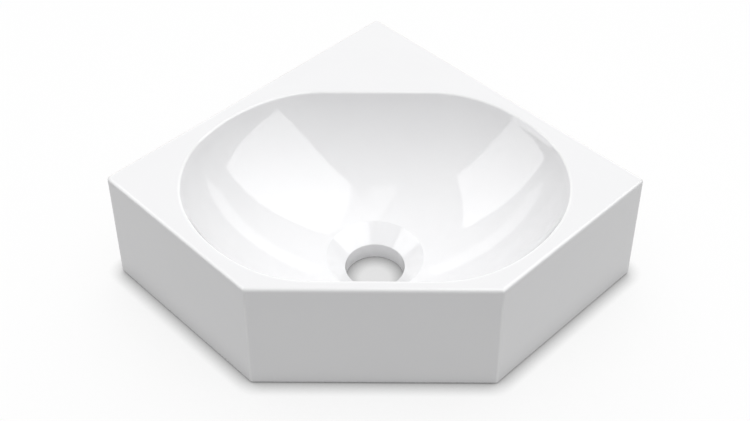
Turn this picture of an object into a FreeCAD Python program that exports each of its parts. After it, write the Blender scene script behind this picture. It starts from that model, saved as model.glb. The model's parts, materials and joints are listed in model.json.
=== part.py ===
# A small corner hand basin: one glazed ceramic casting and, for each of its two wall faces, the
# plug, hanger bolt, flanged bush, washer and nut that hold it in the corner of a room.
#
# In plan the basin is a square whose front corner is cut off: two wall faces meet at a right angle at
# the back, two side faces stand square to them, and one wide face looks to the front (-Y).
# Everything is drawn with the room corner at x = 0, y = 0 and the base plane at z = 0, and is moved
# at the end so that the origin lies under the middle of the footprint.

import FreeCAD, Part
import math
import os

Vector = FreeCAD.Vector
UP = Vector(0, 0, 1)

# ---- outer shell, millimetres ----
WALL_LENGTH = 280.0         # each wall face, from the room corner to the side face
SIDE_LENGTH = 156.0         # each side face, from the wall face to the front corner
HEIGHT = 98.0
BASE_FLARE = 3.0            # how much further out the side and front faces stand at the base
EDGE_ROUND = 3.5            # upright corners
DECK_ROUND = 2.5            # outer edge of the deck
BASE_ROUND = 3.0            # outer edge of the base
SKIRT = 10.0                # thickness of the outer faces
DECK = 11.0                 # thickness of the deck

# ---- bowl ----
RIM_CENTRE = 199.0          # from the room corner to the middle of the rim outline
RIM_FLAT = 41.5             # half of the straight stretch at the back and the front of the rim
RIM_RADII = (90.0, 121.0, 88.0)   # three arcs from that stretch round to the side
RIM_TURNS = (30.0, 60.0, 90.0)    # direction at the end of each arc, in degrees
RIM_ROUND = 2.5
WASTE_CENTRE = 208.0        # from the room corner to the axis of the waste hole
WASTE_RADIUS = 23.0
WASTE_WALL_TOP = 14.6       # the hole's straight wall ends here and the conical seat begins
SEAT_RADIUS = 37.5
SEAT_TOP = 26.0
SEAT_FLAT = 1.0             # what is left of the straight stretches where the bowl meets the seat
SEAT_LAP = 1.5
SEAT_ROUND = 1.2
HOLE_ROUND = 0.8
BOWL_FOOT_SLOPE = 14.0      # degrees, where the bowl leaves the seat
BOWL_RIM_SLOPE = 74.0       # degrees, where it reaches the deck
BOWL_FOOT_REACH = 0.52      # how far each slope holds, as a share of the bowl's drop
BOWL_RIM_REACH = 0.52
BOWL_STEPS = 6
BOWL_FOOT_LAP = 2.5         # the bowl's surface is carried on inside the seat
BOWL_RIM_LAP = 6.0          # and above the deck
BOWL_WALL = 9.5
BOSS_WALL = 11.0            # ceramic around the waste hole
BOSS_LIFT = 0.5             # the boss stays this far above the base plane
FOOT_ROUND = 1.5            # inner edge of the base and lower edge of the boss
HOLLOW_ROUND = 9.0          # upright corners of the hollow underside

# ---- wall fixings ----
FIXING_RUN = 100.0          # from the room corner along each wall
FIXING_HEIGHT = 42.0
FIXING_HOLE_RADIUS = 7.0
PAD_RADIUS = 22.0           # thicker ceramic round the fixing hole
PAD_THICKNESS = 5.0
PAD_TAPER = 3.0

PLUG_RADIUS = 5.0
PLUG_LENGTH = 40.0
PLUG_COLLAR_RADIUS = 6.5
PLUG_COLLAR = 1.2
PLUG_CHAMFER = 2.0
PLUG_TIP_RADIUS = 4.5
PLUG_PLAIN = 13.0           # the unsplit stretch behind the collar
PLUG_SLIT = 1.6
PLUG_GROOVES = 5
PLUG_GROOVE_DEPTH = 0.7
BOLT_RADIUS = 4.0
BOLT_IN_WALL = 38.0
BOLT_INSIDE = 42.0
BOLT_TIP = 6.0
BOLT_TIP_RADIUS = 1.0
BOLT_CHAMFER = 0.8
BOLT_SOCKET = 5.0           # hexagon socket across flats, in the machine end
BOLT_SOCKET_DEPTH = 4.0
FIT_GAP = 0.05              # between the bolt and what is screwed on it
BUSH_FLANGE_RADIUS = 17.0
BUSH_FLANGE = 4.0
BUSH_SLEEVE_RADIUS = 6.8
BUSH_SLEEVE = 13.0
BUSH_BORE_RADIUS = 4.3
BUSH_CHAMFER = 1.0
WASHER_RADIUS = 12.0
WASHER_BORE_RADIUS = 4.2
WASHER_THICKNESS = 2.0
NUT_FLATS = 13.0
NUT_THICKNESS = 6.5
NUT_CHAMFER_ANGLE = 30.0

DIAGONAL = math.sqrt(0.5)
WASTE_AXIS = Vector(0, -WASTE_CENTRE, 0)
SIDES = {-1: "left", 1: "right"}
ON_LEVEL = 1e-4             # how exactly an edge lies at a height
WASTE_REACH = 1.5           # how near an edge of the waste lies to its circle


# ---- outer shell ----

def plan(z, inset=0.0):
    """The pentagon at height z, with all five faces moved inwards by the inset."""
    flare = BASE_FLARE * (1 - z / HEIGHT)
    side = WALL_LENGTH + flare - inset
    front = (WALL_LENGTH + SIDE_LENGTH) * DIAGONAL + flare - inset
    wall_end = (side - inset) * DIAGONAL
    wall_end_y = -(side + inset) * DIAGONAL
    front_end = side / DIAGONAL - front
    return [
        Vector(0, -inset / DIAGONAL, z),
        Vector(-wall_end, wall_end_y, z),
        Vector(-front_end, -front, z),
        Vector(front_end, -front, z),
        Vector(wall_end, wall_end_y, z),
    ]


def frustum(lower, upper):
    """A solid of flat faces between two pentagons with parallel sides."""
    downwards = list(reversed(lower))
    rings = [downwards, upper]
    for i in range(len(lower)):
        j = (i + 1) % len(lower)
        rings.append([lower[i], lower[j], upper[j], upper[i]])
    faces = [Part.Face(Part.makePolygon(ring + ring[:1])) for ring in rings]
    return Part.Solid(Part.makeShell(faces))


def edges_where(shape, test):
    return [edge for edge in shape.Edges if test(edge)]


def is_upright(edge):
    first, last = edge.Vertexes[0].Point, edge.Vertexes[-1].Point
    return abs(first.z - last.z) > HEIGHT / 3


def lies_at(z):
    def test(part):
        return all(abs(vertex.Point.z - z) < ON_LEVEL for vertex in part.Vertexes)
    return test


def outer_shell():
    shell = frustum(plan(0), plan(HEIGHT))
    shell = shell.makeFillet(EDGE_ROUND, edges_where(shell, is_upright))
    shell = shell.makeFillet(DECK_ROUND, edges_where(shell, lies_at(HEIGHT)))
    return shell.makeFillet(BASE_ROUND, edges_where(shell, lies_at(0)))


# ---- bowl ----

def outline(flat, radii, centre_y, z):
    """A closed outline: straight at the back and front, and three arcs on each quarter."""
    points = [Vector(flat, 0, 0)]
    middles = []
    turned = 0.0
    for radius, turn in zip(radii, RIM_TURNS):
        start = points[-1]
        hub = start + Vector(-radius * math.sin(turned), -radius * math.cos(turned), 0)
        end = math.radians(turn)
        half = (turned + end) / 2
        middles.append(hub + Vector(radius * math.sin(half), radius * math.cos(half), 0))
        points.append(hub + Vector(radius * math.sin(end), radius * math.cos(end), 0))
        turned = end
    depth = points[-1].y
    quarter = [(points[i], middles[i], points[i + 1]) for i in range(len(middles))]
    edges = []

    def place(point, x_sign, y_sign):
        return Vector(x_sign * point.x, y_sign * (point.y - depth) - centre_y, z)

    def add_quarter(x_sign, y_sign, backwards):
        for arc in (reversed(quarter) if backwards else quarter):
            ends = [place(point, x_sign, y_sign) for point in arc]
            if backwards:
                ends.reverse()
            edges.append(Part.Arc(*ends).toShape())

    def add_flat(y_sign, x_sign):
        first = place(points[0], x_sign, y_sign)
        last = place(points[0], -x_sign, y_sign)
        edges.append(Part.LineSegment(first, last).toShape())

    add_quarter(1, 1, False)
    add_quarter(1, -1, True)
    add_flat(-1, 1)
    add_quarter(-1, -1, False)
    add_quarter(-1, 1, True)
    add_flat(1, -1)
    return Part.Wire(edges)


def rim_back():
    """Distance from the room corner to the straight back stretch of the rim."""
    depth = 0.0
    turned = 0.0
    for radius, turn in zip(RIM_RADII, RIM_TURNS):
        end = math.radians(turn)
        depth += radius * (math.cos(turned) - math.cos(end))
        turned = end
    return RIM_CENTRE - depth


def bowl_run():
    """Level distance from the seat's circle to the rim, straight back from the waste hole."""
    return WASTE_CENTRE - SEAT_RADIUS - rim_back()


def bowl_profile():
    """Points (share of the way from seat to rim, height, slope) on the bowl's back slope."""
    run = bowl_run()
    drop = HEIGHT - SEAT_TOP
    foot = math.radians(BOWL_FOOT_SLOPE)
    rim = math.radians(BOWL_RIM_SLOPE)
    a = Vector(0, SEAT_TOP, 0)
    b = a + Vector(math.cos(foot), math.sin(foot), 0) * (BOWL_FOOT_REACH * drop)
    d = Vector(run, HEIGHT, 0)
    c = d - Vector(math.cos(rim), math.sin(rim), 0) * (BOWL_RIM_REACH * drop)
    stations = []
    for i in range(BOWL_STEPS + 1):
        t = i / BOWL_STEPS
        s = 1 - t
        point = a * s**3 + b * (3 * s * s * t) + c * (3 * s * t * t) + d * t**3
        along = (b - a) * (s * s) + (c - b) * (2 * s * t) + (d - c) * (t * t)
        stations.append((point.x / run, point.y, math.atan2(along.y, along.x)))
    return stations


def bowl_section(share, z, growth):
    """The outline part of the way from the seat's circle (0) to the rim (1)."""
    radii = [SEAT_RADIUS + (radius - SEAT_RADIUS) * share + growth for radius in RIM_RADII]
    flat = SEAT_FLAT + (RIM_FLAT - SEAT_FLAT) * max(share, 0)
    centre_y = WASTE_CENTRE + (RIM_CENTRE - WASTE_CENTRE) * share
    return outline(flat, radii, centre_y, z)


def bowl_solid(growth):
    """The bowl's space, or with growth the space inside its outer wall surface."""
    run = bowl_run()
    stations = bowl_profile()
    foot_slope = stations[0][2]
    rim_slope = stations[-1][2]
    foot = (-BOWL_FOOT_LAP / run, SEAT_TOP - BOWL_FOOT_LAP * math.tan(foot_slope), foot_slope)
    top = (1 + BOWL_RIM_LAP / math.tan(rim_slope) / run, HEIGHT + BOWL_RIM_LAP, rim_slope)
    sections = []
    for share, z, slope in [foot] + stations + [top]:
        drop = growth * math.cos(slope)
        sections.append(bowl_section(share, z - drop, growth * math.sin(slope)))
    return Part.makeLoft(sections, True, False)


def waste_space():
    """The straight hole and the conical seat, which is carried on above the bowl's surface."""
    hole = Part.makeCylinder(WASTE_RADIUS, WASTE_WALL_TOP + 1, WASTE_AXIS - UP)
    spread = (SEAT_RADIUS - WASTE_RADIUS) / (SEAT_TOP - WASTE_WALL_TOP)
    rise = SEAT_TOP + SEAT_LAP - WASTE_WALL_TOP
    cone_base = WASTE_AXIS + UP * WASTE_WALL_TOP
    cone = Part.makeCone(WASTE_RADIUS, WASTE_RADIUS + spread * rise, rise, cone_base)
    return hole.fuse(cone)


# ---- wall fixings: frames on the two wall faces ----

def wall_frame(side):
    """Placement with its origin on the wall face at the fixing and +Z into the basin."""
    spot = Vector(side * FIXING_RUN * DIAGONAL, -FIXING_RUN * DIAGONAL, FIXING_HEIGHT)
    inwards = Vector(-side * DIAGONAL, -DIAGONAL, 0)
    return FreeCAD.Placement(spot, FreeCAD.Rotation(Vector(0, 0, 1), inwards))


def on_wall(shape, side):
    placed = shape.copy()
    placed.Placement = wall_frame(side)
    return placed


def revolved(points):
    """A solid turned about Z from (radius, height) points."""
    corners = [Vector(radius, 0, height) for radius, height in points]
    face = Part.Face(Part.makePolygon(corners + corners[:1]))
    return face.revolve(Vector(0, 0, 0), UP, 360)


def hexagon_bar(flats, height, base_z):
    corner = flats / math.sqrt(3)
    corners = []
    for i in range(6):
        angle = math.radians(60 * i)
        corners.append(Vector(corner * math.cos(angle), corner * math.sin(angle), base_z))
    return Part.Face(Part.makePolygon(corners + corners[:1])).extrude(UP * height)


def fixing_pad():
    return Part.makeCone(PAD_RADIUS + PAD_TAPER, PAD_RADIUS, PAD_THICKNESS, UP * SKIRT)


def wall_plug():
    """A split plug in the wall, its collar against the wall inside the basin's fixing hole."""
    bore = BOLT_RADIUS + FIT_GAP
    body = revolved([
        (bore, -PLUG_LENGTH),
        (PLUG_TIP_RADIUS, -PLUG_LENGTH),
        (PLUG_RADIUS, -PLUG_LENGTH + PLUG_CHAMFER),
        (PLUG_RADIUS, 0),
        (PLUG_COLLAR_RADIUS, 0),
        (PLUG_COLLAR_RADIUS, PLUG_COLLAR),
        (bore, PLUG_COLLAR),
    ])
    split = PLUG_LENGTH - PLUG_PLAIN
    pitch = split / (PLUG_GROOVES + 1)
    reach = PLUG_GROOVE_DEPTH + FIT_GAP
    for i in range(PLUG_GROOVES):
        middle = -PLUG_PLAIN - pitch * (i + 1)
        body = body.cut(revolved([
            (PLUG_RADIUS + FIT_GAP, middle - reach),
            (PLUG_RADIUS + FIT_GAP, middle + reach),
            (PLUG_RADIUS - PLUG_GROOVE_DEPTH, middle),
        ]))
    below = PLUG_LENGTH + PLUG_CHAMFER
    slit_start = Vector(-PLUG_COLLAR_RADIUS, -PLUG_SLIT / 2, -below)
    return body.cut(Part.makeBox(2 * PLUG_COLLAR_RADIUS, PLUG_SLIT, below - PLUG_PLAIN, slit_start))


def hanger_bolt():
    """Pointed wood end in the plug, plain machine end with a hexagon socket in the basin."""
    shank = revolved([
        (0, -BOLT_IN_WALL),
        (BOLT_TIP_RADIUS, -BOLT_IN_WALL),
        (BOLT_RADIUS, -BOLT_IN_WALL + BOLT_TIP),
        (BOLT_RADIUS, BOLT_INSIDE - BOLT_CHAMFER),
        (BOLT_RADIUS - BOLT_CHAMFER, BOLT_INSIDE),
        (0, BOLT_INSIDE),
    ])
    return shank.cut(hexagon_bar(BOLT_SOCKET, BOLT_SOCKET_DEPTH, BOLT_INSIDE - BOLT_SOCKET_DEPTH))


def fixing_bush():
    """A flange on the ceramic pad with a sleeve in the fixing hole."""
    seat = SKIRT + PAD_THICKNESS
    return revolved([
        (BUSH_BORE_RADIUS, seat - BUSH_SLEEVE),
        (BUSH_SLEEVE_RADIUS, seat - BUSH_SLEEVE),
        (BUSH_SLEEVE_RADIUS, seat),
        (BUSH_FLANGE_RADIUS, seat),
        (BUSH_FLANGE_RADIUS, seat + BUSH_FLANGE - BUSH_CHAMFER),
        (BUSH_FLANGE_RADIUS - BUSH_CHAMFER, seat + BUSH_FLANGE),
        (BUSH_BORE_RADIUS, seat + BUSH_FLANGE),
    ])


def washer():
    base = SKIRT + PAD_THICKNESS + BUSH_FLANGE
    return revolved([
        (WASHER_BORE_RADIUS, base),
        (WASHER_RADIUS, base),
        (WASHER_RADIUS, base + WASHER_THICKNESS),
        (WASHER_BORE_RADIUS, base + WASHER_THICKNESS),
    ])


def nut():
    """A hexagon nut with both faces chamfered."""
    base = SKIRT + PAD_THICKNESS + BUSH_FLANGE + WASHER_THICKNESS
    corner = NUT_FLATS / math.sqrt(3)
    flat = NUT_FLATS / 2
    drop = (corner - flat) * math.tan(math.radians(NUT_CHAMFER_ANGLE))
    barrel = revolved([
        (0, base),
        (flat, base),
        (corner, base + drop),
        (corner, base + NUT_THICKNESS - drop),
        (flat, base + NUT_THICKNESS),
        (0, base + NUT_THICKNESS),
    ])
    bore = Part.makeCylinder(BOLT_RADIUS + FIT_GAP, NUT_THICKNESS, UP * base)
    return hexagon_bar(NUT_FLATS, NUT_THICKNESS, base).common(barrel).cut(bore)


# ---- the casting ----

def hollow():
    """The open space under the deck, round the bowl's wall, the waste boss and the fixing pads."""
    space = frustum(plan(-BASE_ROUND, SKIRT), plan(HEIGHT - DECK, SKIRT))
    space = space.makeFillet(HOLLOW_ROUND, edges_where(space, is_upright))
    boss = Part.makeCylinder(WASTE_RADIUS + BOSS_WALL, SEAT_TOP, WASTE_AXIS + UP * BOSS_LIFT)
    space = space.cut(bowl_solid(BOWL_WALL)).cut(boss)
    for side in SIDES:
        space = space.cut(on_wall(fixing_pad(), side))
    return space


def level_face(body, z):
    """The largest flat face at height z."""
    level = [face for face in body.Faces if lies_at(z)(face)]
    return max(level, key=lambda face: face.Area)


def inner_edges(body, z):
    """The edges round the openings of the flat face at height z."""
    face = level_face(body, z)
    edges = []
    for wire in face.Wires:
        if not wire.isSame(face.OuterWire):
            edges += wire.Edges
    return edges


def outer_edges(body, z):
    return level_face(body, z).OuterWire.Edges


def waste_edges(body, radius, z):
    """The edges of a circle about the waste hole's axis."""
    def test(edge):
        for vertex in edge.Vertexes:
            point = vertex.Point - WASTE_AXIS
            if abs(math.hypot(point.x, point.y) - radius) > WASTE_REACH:
                return False
            if abs(point.z - z) > WASTE_REACH:
                return False
        return edge.Length > WASTE_REACH
    return edges_where(body, test)


def basin_body():
    body = outer_shell()
    body = body.cut(bowl_solid(0))
    body = body.cut(waste_space())
    body = body.makeFillet(RIM_ROUND, inner_edges(body, HEIGHT))
    body = body.makeFillet(SEAT_ROUND, waste_edges(body, SEAT_RADIUS, SEAT_TOP))
    body = body.makeFillet(HOLE_ROUND, waste_edges(body, WASTE_RADIUS, WASTE_WALL_TOP))
    body = body.cut(hollow())
    body = body.makeFillet(FOOT_ROUND, inner_edges(body, 0))
    body = body.makeFillet(FOOT_ROUND, outer_edges(body, BOSS_LIFT))
    for side in SIDES:
        hole = Part.makeCylinder(FIXING_HOLE_RADIUS, 2 * SKIRT + PAD_THICKNESS, UP * -SKIRT)
        body = body.cut(on_wall(hole, side))
    return body


# ---- the pieces ----

def pieces():
    """Every piece in its place, with the room corner at x = 0, y = 0."""
    shapes = {"basin_body": basin_body()}
    for side, hand in SIDES.items():
        shapes[hand + "_wall_plug"] = on_wall(wall_plug(), side)
        shapes[hand + "_hanger_bolt"] = on_wall(hanger_bolt(), side)
        shapes[hand + "_fixing_bush"] = on_wall(fixing_bush(), side)
        shapes[hand + "_washer"] = on_wall(washer(), side)
        shapes[hand + "_nut"] = on_wall(nut(), side)
    return shapes


def main():
    os.makedirs("parts", exist_ok=True)
    shapes = pieces()
    footprint = shapes["basin_body"].optimalBoundingBox()
    to_origin = Vector(0, -(footprint.YMin + footprint.YMax) / 2, 0)
    for name, shape in shapes.items():
        shape.translate(to_origin)
        shape.exportStep("parts/" + name + ".step")


if __name__ == "__main__":
    main()
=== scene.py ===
"""A small corner hand basin: its glazed casting, its two wall fixings and a pale studio.

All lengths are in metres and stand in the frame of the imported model: +Z up, the front face looks
to -Y, and the two wall faces meet at the back. The casting is drawn from the room corner, whose
place in that frame is worked out from the waste hole.
"""

import json
import logging
import math
from dataclasses import dataclass, fields, replace
from enum import Enum
from functools import reduce
from typing import Callable, Union

import bpy
import numpy as np
from mathutils import Matrix, Vector


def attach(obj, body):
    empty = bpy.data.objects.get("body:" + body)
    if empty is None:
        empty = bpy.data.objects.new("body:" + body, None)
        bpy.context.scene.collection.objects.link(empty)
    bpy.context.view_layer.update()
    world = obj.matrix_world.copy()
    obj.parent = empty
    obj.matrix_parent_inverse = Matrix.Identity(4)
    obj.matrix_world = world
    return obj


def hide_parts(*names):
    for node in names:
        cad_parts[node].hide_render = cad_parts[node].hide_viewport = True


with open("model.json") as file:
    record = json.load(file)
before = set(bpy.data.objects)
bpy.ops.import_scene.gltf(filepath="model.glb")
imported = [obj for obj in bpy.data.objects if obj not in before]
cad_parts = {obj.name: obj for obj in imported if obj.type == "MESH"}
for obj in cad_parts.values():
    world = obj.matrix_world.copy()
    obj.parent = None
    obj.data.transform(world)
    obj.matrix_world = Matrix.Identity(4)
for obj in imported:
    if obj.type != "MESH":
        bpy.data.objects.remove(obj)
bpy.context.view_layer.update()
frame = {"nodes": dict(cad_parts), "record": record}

Material = bpy.types.Material
Mesh = bpy.types.Mesh
Piece = bpy.types.Object
Socket = bpy.types.NodeSocket
Sockets = bpy.types.bpy_prop_collection
Tree = bpy.types.NodeTree
Value = Union[Socket, float]
Ring = np.ndarray

BODY = "root"
# The point attribute that says where a highlight is painted on the casting's rounds.
PAINTED_HIGHLIGHT_ATTRIBUTE = "thin_glaze"
COS_45 = math.sqrt(0.5)
MERGE = 1e-6
# The Mix node's sockets where it mixes colours: the share, both colours, and the result.
MIX_INPUTS = (0, 6, 7)
MIX_RESULT = 2
LOG = logging.getLogger("corner_basin")


class Slot(Enum):
    """The record's material slots."""

    CERAMIC = "glazed_ceramic"
    NYLON = "plug_nylon"
    PLASTIC = "bush_plastic"
    STEEL = "zinc_steel"


class Hand(Enum):
    """The two wall faces, seen by someone who faces the basin."""

    LEFT = -1
    RIGHT = 1

    @property
    def word(self) -> str:
        """The side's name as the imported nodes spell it."""
        return self.name.lower()


# ---- node helpers ----

class Formula:
    """Writes arithmetic into a node tree, so that a rule reads like a formula."""

    def __init__(self, tree: Tree) -> None:
        """Keeps the tree that the nodes go into."""
        self.tree = tree

    def plug(self, value: object, socket: Socket) -> None:
        """Links a socket to another, or sets its value.

        Args:
            value: a socket, a number or a tuple of numbers.
            socket: the input that takes it.
        """
        if isinstance(value, Socket):
            self.tree.links.new(value, socket)
        else:
            socket.default_value = value

    def node(self, kind: str, **inputs: object) -> bpy.types.Node:
        """Adds a node and fills the named inputs.

        Args:
            kind: the node's type name.
            inputs: values by input name, with spaces written as underscores.

        Returns:
            The new node.
        """
        made = self.tree.nodes.new(kind)
        for name, value in inputs.items():
            self.plug(value, made.inputs[name.replace("_", " ")])
        return made

    def math(self, operation: str, *values: Value) -> Socket:
        """Adds one Math node.

        Args:
            operation: the Math node's operation.
            values: its inputs in order.

        Returns:
            The result's socket.
        """
        made = self.tree.nodes.new("ShaderNodeMath")
        made.operation = operation
        for value, socket in zip(values, made.inputs):
            self.plug(value, socket)
        return made.outputs[0]

    def measure(self, operation: str, first: object, second: object) -> Socket:
        """Adds one Vector Math node that puts out a number.

        Args:
            operation: the node's operation.
            first: a vector or its socket.
            second: a vector or its socket.

        Returns:
            The number's socket.
        """
        made = self.node("ShaderNodeVectorMath")
        made.operation = operation
        self.plug(first, made.inputs[0])
        self.plug(second, made.inputs[1])
        return made.outputs["Value"]

    def add(self, *terms: Value) -> Socket:
        """The sum of any number of terms."""
        return reduce(lambda total, term: self.math("ADD", total, term), terms)

    def times(self, *factors: Value) -> Socket:
        """The product of any number of factors."""
        return reduce(lambda product, factor: self.math("MULTIPLY", product, factor), factors)

    def minus(self, first: Value, second: Value) -> Socket:
        """The first value less the second."""
        return self.math("SUBTRACT", first, second)

    def clamp(self, value: Value, low: float, high: float) -> Socket:
        """The value kept between two numbers."""
        return self.math("MINIMUM", self.math("MAXIMUM", value, low), high)

    def between(self, start: Value, end: Value, share: Value) -> Socket:
        """The value part of the way from start to end."""
        return self.math("MULTIPLY_ADD", self.minus(end, start), share, start)


@dataclass(frozen=True)
class RuledMesh:
    """A mesh that Geometry Nodes place by a rule, one point at a time, on a grid.

    Attributes:
        name: the tree's name.
        columns: points around.
        rings: points along.
        closed: whether the first and last columns meet.
    """

    name: str
    columns: int
    rings: int
    closed: bool

    def build(self, sizes: object, rule: Callable, material: Material) -> Mesh:
        """Builds the tree, evaluates it and returns a plain mesh.

        Args:
            sizes: a dataclass whose float fields become the tree's named inputs.
            rule: takes a Formula, the inputs by field name, and the column and ring as shares
                of one; returns the x, y and z sockets of a point.
            material: set on the result.

        Returns:
            The evaluated mesh.
        """
        tree = bpy.data.node_groups.new(self.name, "GeometryNodeTree")
        tree.interface.new_socket("Geometry", in_out="OUTPUT", socket_type="NodeSocketGeometry")
        names = [item.name for item in fields(sizes) if item.type in ("float", float)]
        for name in names:
            label = name.replace("_", " ").capitalize()
            tree.interface.new_socket(label, in_out="INPUT", socket_type="NodeSocketFloat")
        formula = Formula(tree)
        inputs = dict(zip(names, formula.node("NodeGroupInput").outputs))
        along = self.columns + 1 if self.closed else self.columns
        grid = formula.node("GeometryNodeMeshGrid", Vertices_X=along, Vertices_Y=self.rings)
        index = formula.node("GeometryNodeInputIndex").outputs[0]
        column = formula.math("FLOOR", formula.math("DIVIDE", index, float(self.rings)))
        ring = formula.math("MODULO", index, float(self.rings))
        around = formula.math("DIVIDE", column, float(self.columns))
        up = formula.math("DIVIDE", ring, self.rings - 1.0)
        x, y, z = rule(formula, inputs, around, up)
        point = formula.node("ShaderNodeCombineXYZ", X=x, Y=y, Z=z).outputs[0]
        placed = formula.node("GeometryNodeSetPosition", Geometry=grid.outputs[0], Position=point)
        shape = placed.outputs[0]
        if self.closed:
            merge = formula.node("GeometryNodeMergeByDistance", Geometry=shape, Distance=MERGE)
            shape = merge.outputs[0]
        real = formula.node("GeometryNodeRealizeInstances", Geometry=shape)
        dressed = formula.node("GeometryNodeSetMaterial", Geometry=real.outputs[0])
        dressed.inputs["Material"].default_value = material
        formula.plug(dressed.outputs[0], formula.node("NodeGroupOutput").inputs[0])
        return self.evaluate(tree, sizes, names)

    def evaluate(self, tree: Tree, sizes: object, names: list[str]) -> Mesh:
        """Runs the tree with the sizes on its inputs.

        Args:
            tree: the finished tree.
            sizes: the dataclass that holds the values.
            names: its float fields, in the order of the inputs.

        Returns:
            The evaluated mesh.
        """
        holder = shown_object(self.name, bpy.data.meshes.new(self.name))
        modifier = holder.modifiers.new(self.name, "NODES")
        modifier.node_group = tree
        sockets = [item for item in tree.interface.items_tree if item.in_out == "INPUT"]
        for name, socket in zip(names, sockets):
            modifier[socket.identifier] = float(getattr(sizes, name))
        apply_modifiers(holder)
        mesh = holder.data
        bpy.data.objects.remove(holder)
        return mesh


# ---- shader groups ----

class SharedEffects:
    """Shader node groups that more than one finish uses."""

    def __init__(self) -> None:
        """Builds both groups once."""
        self.speckle = self.build_speckle()
        self.waver = self.build_waver()

    @staticmethod
    def start(name: str, inputs: dict[str, float], outputs: list[str]) -> tuple:
        """Opens a group with float inputs and outputs.

        Args:
            name: the group's name.
            inputs: default values by socket name.
            outputs: the names of the output sockets.

        Returns:
            The group, its Formula, what it is given and what it puts out.
        """
        group = bpy.data.node_groups.new(name, "ShaderNodeTree")
        new_socket = group.interface.new_socket
        new_socket("Vector", in_out="INPUT", socket_type="NodeSocketVector").hide_value = True
        for label, value in inputs.items():
            made = new_socket(label, in_out="INPUT", socket_type="NodeSocketFloat")
            made.default_value = value
        for label in outputs:
            new_socket(label, in_out="OUTPUT", socket_type="NodeSocketFloat")
        formula = Formula(group)
        given = formula.node("NodeGroupInput").outputs
        return group, formula, given, formula.node("NodeGroupOutput").inputs

    def build_speckle(self) -> Tree:
        """Small scattered spots, such as pinholes and grog.

        Returns:
            The group.
        """
        defaults = {"Scale": 900.0, "Size": 0.12, "Share": 0.2}
        group, formula, given, result = self.start("Speckle", defaults, ["Mask"])
        placed = {name: given[name] for name in ("Vector", "Scale")}
        cells = formula.node("ShaderNodeTexVoronoi", **placed).outputs
        spot = formula.math("LESS_THAN", cells["Distance"], given["Size"])
        pick = formula.node("ShaderNodeSeparateColor", Color=cells["Color"]).outputs[0]
        chosen = formula.math("LESS_THAN", pick, given["Share"])
        formula.plug(formula.times(spot, chosen), result["Mask"])
        return group

    def build_waver(self) -> Tree:
        """Slow unevenness of a surface, as a height and as a mottle from 0 to 1.

        Returns:
            The group.
        """
        defaults = {"Scale": 60.0, "Detail": 2.0, "Contrast": 1.0}
        outputs = ["Height", "Mottle"]
        group, formula, given, result = self.start("Surface waver", defaults, outputs)
        placed = {name: given[name] for name in ("Vector", "Scale", "Detail")}
        noise = formula.node("ShaderNodeTexNoise", **placed).outputs[0]
        middle = 0.5
        mottle = formula.times(formula.minus(noise, middle), given["Contrast"])
        formula.plug(noise, result["Height"])
        formula.plug(formula.clamp(formula.add(mottle, middle), 0.0, 1.0), result["Mottle"])
        return group


class Finish:
    """A material that is being built, with its Principled node and object coordinates."""

    def __init__(self, name: str) -> None:
        """Opens the material.

        Args:
            name: the material's name.
        """
        self.material = bpy.data.materials.new(name)
        self.material.use_nodes = True
        self.formula = Formula(self.material.node_tree)
        self.shader = self.material.node_tree.nodes["Principled BSDF"]
        self.place = self.formula.node("ShaderNodeTexCoord").outputs["Object"]

    def use(self, group: Tree, inputs: dict[str, float]) -> Sockets:
        """Places a shared group on the object coordinates.

        Args:
            group: the shared group.
            inputs: values by input name.

        Returns:
            The group's outputs.
        """
        made = self.formula.node("ShaderNodeGroup")
        made.node_tree = group
        for name, value in {"Vector": self.place, **inputs}.items():
            self.formula.plug(value, made.inputs[name])
        return made.outputs

    def mix(self, share: Value, first: object, second: object) -> Socket:
        """Mixes two colours.

        Args:
            share: how much of the second colour.
            first: a colour or its socket.
            second: a colour or its socket.

        Returns:
            The mixed colour's socket.
        """
        made = self.formula.node("ShaderNodeMix")
        made.data_type = "RGBA"
        for index, value in zip(MIX_INPUTS, (share, first, second)):
            self.formula.plug(value, made.inputs[index])
        return made.outputs[MIX_RESULT]

    def close(self, colour: Socket, rough: Socket, relief: Socket, height: float) -> Material:
        """Leads what varies over the surface to the shader.

        Args:
            colour: the base colour.
            rough: the roughness.
            relief: the relief, about 0 to 1.
            height: how high 1 stands in the relief, in metres.

        Returns:
            The finished material.
        """
        bump = self.formula.node("ShaderNodeBump", Height=relief, Distance=height)
        led = {"Base Color": colour, "Roughness": rough, "Normal": bump.outputs[0]}
        for name, socket in led.items():
            self.formula.plug(socket, self.shader.inputs[name])
        return self.material


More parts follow.
